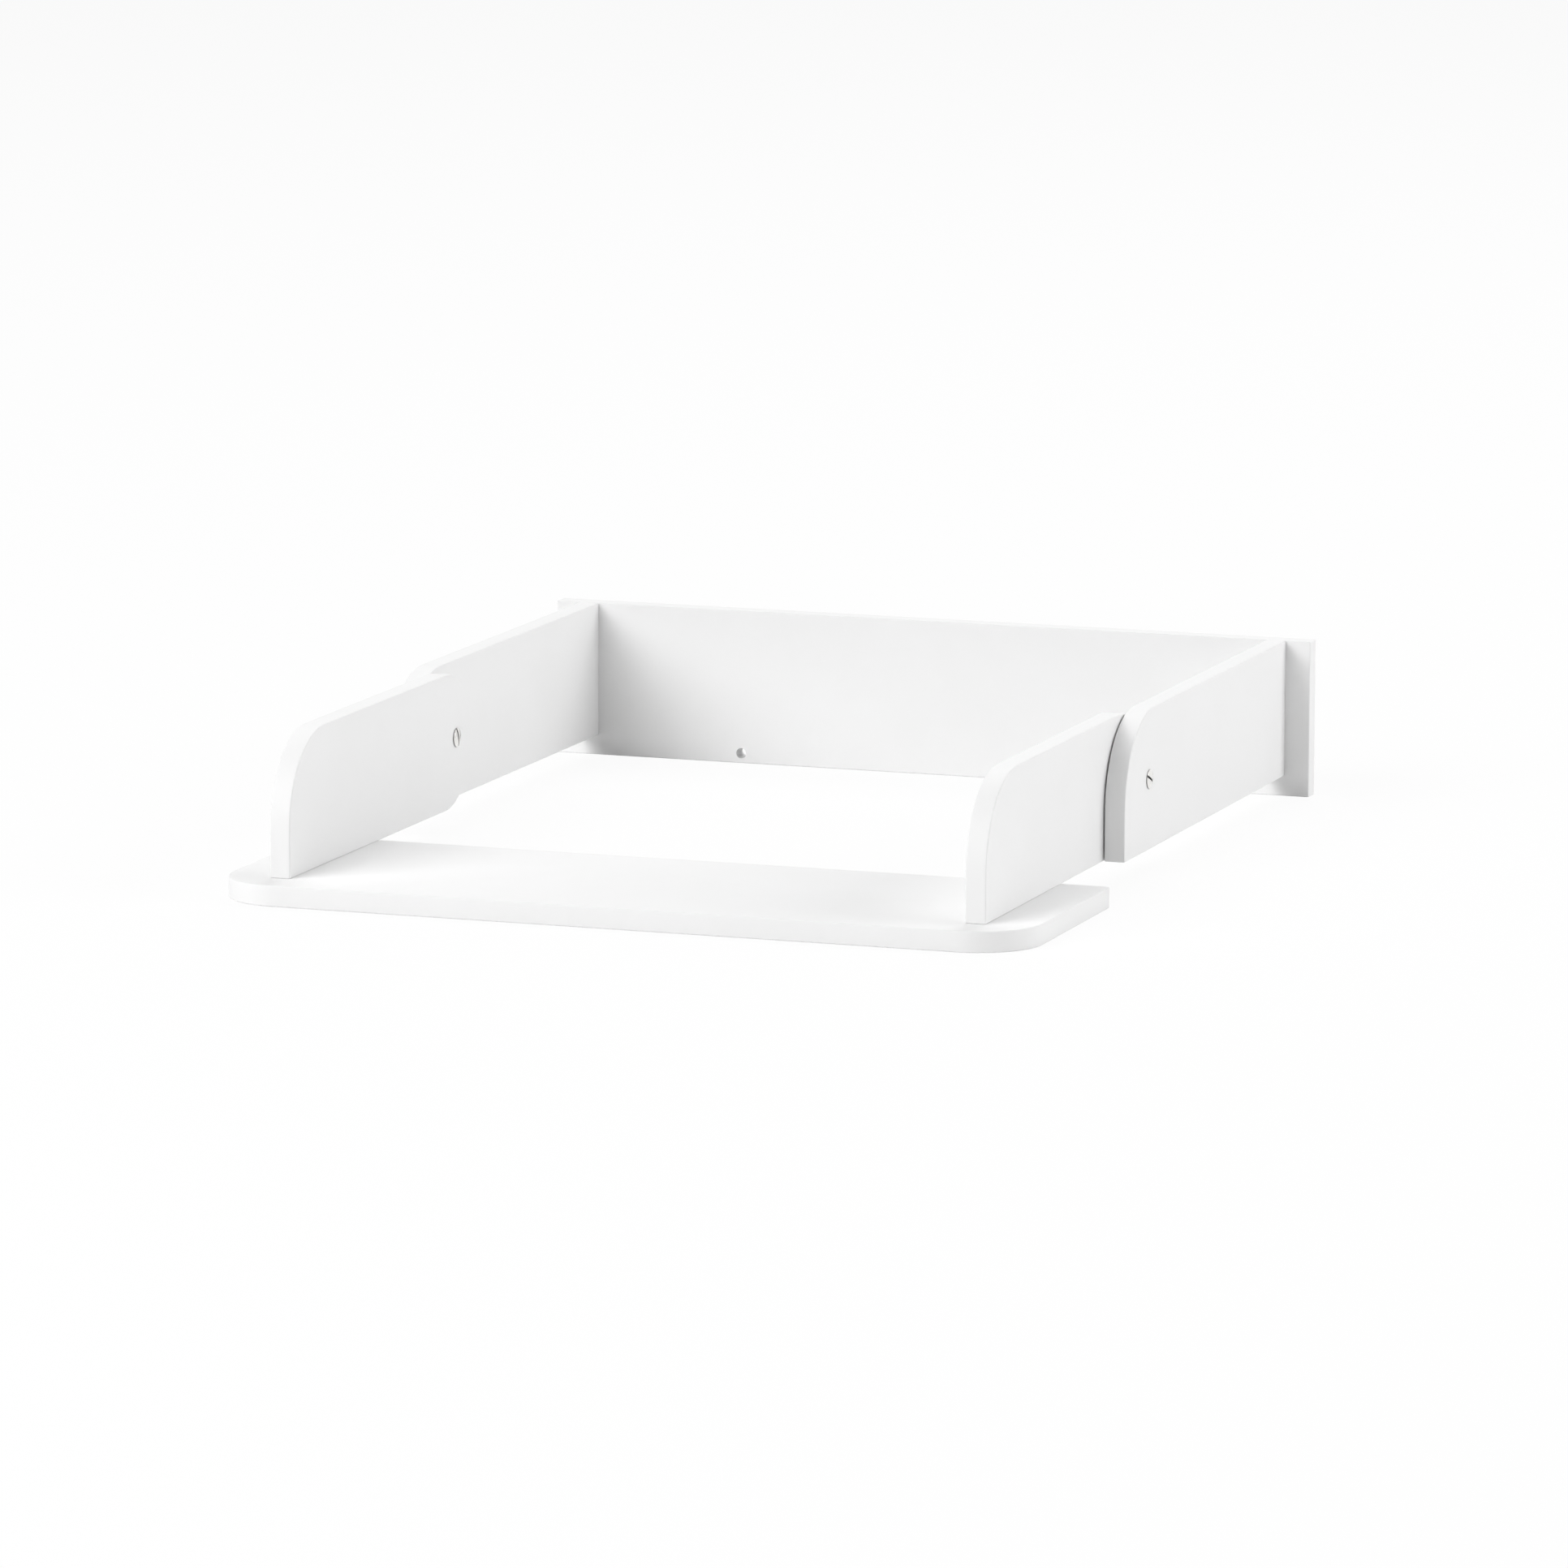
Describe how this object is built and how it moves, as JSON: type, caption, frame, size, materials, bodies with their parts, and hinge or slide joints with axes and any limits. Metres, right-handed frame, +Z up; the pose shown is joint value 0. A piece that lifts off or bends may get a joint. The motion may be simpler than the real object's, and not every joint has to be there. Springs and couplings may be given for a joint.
{
  "type": "changing top",
  "caption": "Folding changing top of white lacquered boards: a rear frame that hooks over a dresser, and a front frame with a shelf that turns over onto it.",
  "frame": {"origin": "below the middle of the part, at the level of the back board's lower edge", "axes": "+X to the right seen from the front, +Y to the back board, +Z up"},
  "size_m": [0.633, 0.754, 0.124],
  "materials": {
    "white_lacquer": "satin white lacquer on board",
    "nickel": "nickel plate",
    "zinc_steel": "zinc plate",
    "beech": "bare turned beech",
    "nylon": "natural nylon"
  },
  "bodies": {
    "rear_frame": {"back_board": "white_lacquer", "left_rear_side": "white_lacquer", "left_pivot_sleeve": "nickel", "left_pivot_bolt": "nickel", "left_pivot_washer": "nylon", "left_back_screws": "zinc_steel", "left_back_dowels": "beech", "right_rear_side": "white_lacquer", "right_pivot_sleeve": "nickel", "right_pivot_bolt": "nickel", "right_pivot_washer": "nylon", "right_back_screws": "zinc_steel", "right_back_dowels": "beech"},
    "front_frame": {"front_shelf": "white_lacquer", "left_front_side": "white_lacquer", "left_shelf_screws": "zinc_steel", "left_shelf_dowels": "beech", "right_front_side": "white_lacquer", "right_shelf_screws": "zinc_steel", "right_shelf_dowels": "beech"}
  },
  "joints": [
    {"name": "front_fold", "type": "hinge", "parent": "rear_frame", "child": "front_frame", "pos_m": [0, -0.003, 0.0702], "axis": [-1, 0, 0], "range_deg": [0, 180]}
  ]
}
